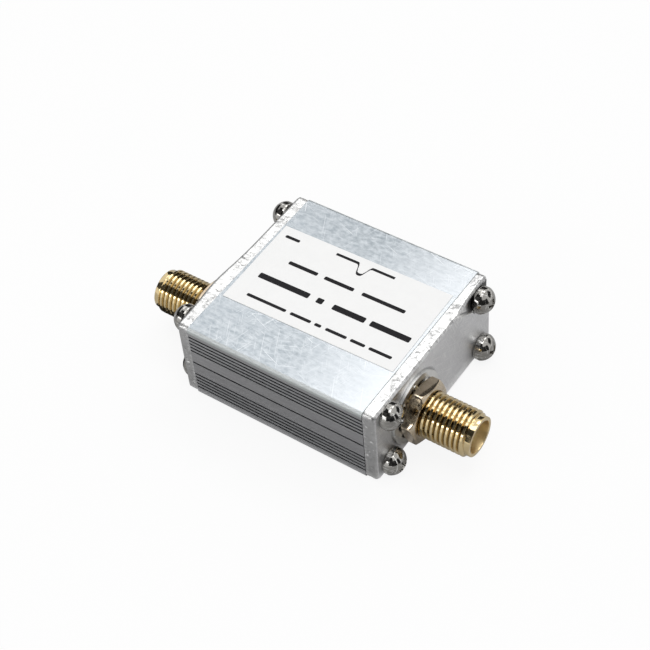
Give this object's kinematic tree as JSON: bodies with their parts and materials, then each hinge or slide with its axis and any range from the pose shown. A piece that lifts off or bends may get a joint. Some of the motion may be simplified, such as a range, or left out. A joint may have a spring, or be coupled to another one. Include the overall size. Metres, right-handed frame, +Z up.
{
  "type": "coaxial band stop filter",
  "caption": "Band stop filter in a low rectangular grooved aluminium housing, with a screwed end plate and a threaded coaxial jack at each end.",
  "frame": {"origin": "middle of the housing's flat underside", "axes": "+X runs along the jacks, +Y goes across the housing from the side nearer the jacks to the other, +Z is up through the label"},
  "size_m": [0.0502, 0.0284, 0.0131],
  "materials": {
    "housing": "drawn extrusion, satin with fine bright scratches on the top",
    "plate": "flat satin face, rough bright sawn edges",
    "screw": "bright nickel plate on steel",
    "gold_plate": "bright gold plate on turned brass",
    "gold_nut": "bright gold plate on turned brass",
    "washer": "bright nickel plate",
    "insulator": "waxy white fluoroplastic",
    "board": "green lacquer on glass epoxy",
    "copper": "bare copper under clear lacquer",
    "capacitor": "matt ceramic with tinned ends",
    "inductor": "ceramic core with lacquered copper wire",
    "solder": "bright solder",
    "label": null
  },
  "bodies": {
    "root": {"housing": "housing", "left_end_plate": "plate", "right_end_plate": "plate", "left_plate_screws": "screw", "right_plate_screws": "screw", "left_jack_body": "gold_plate", "right_jack_body": "gold_plate", "left_insulator": "insulator", "right_insulator": "insulator", "left_centre_contact": "gold_plate", "right_centre_contact": "gold_plate", "left_hex_nut": "gold_nut", "right_hex_nut": "gold_nut", "left_lock_washer": "washer", "right_lock_washer": "washer", "filter_board": "board", "copper_tracks": "copper", "chip_capacitors": "capacitor", "chip_inductors": "inductor", "solder_joints": "solder", "label": "label"}
  },
  "joints": []
}
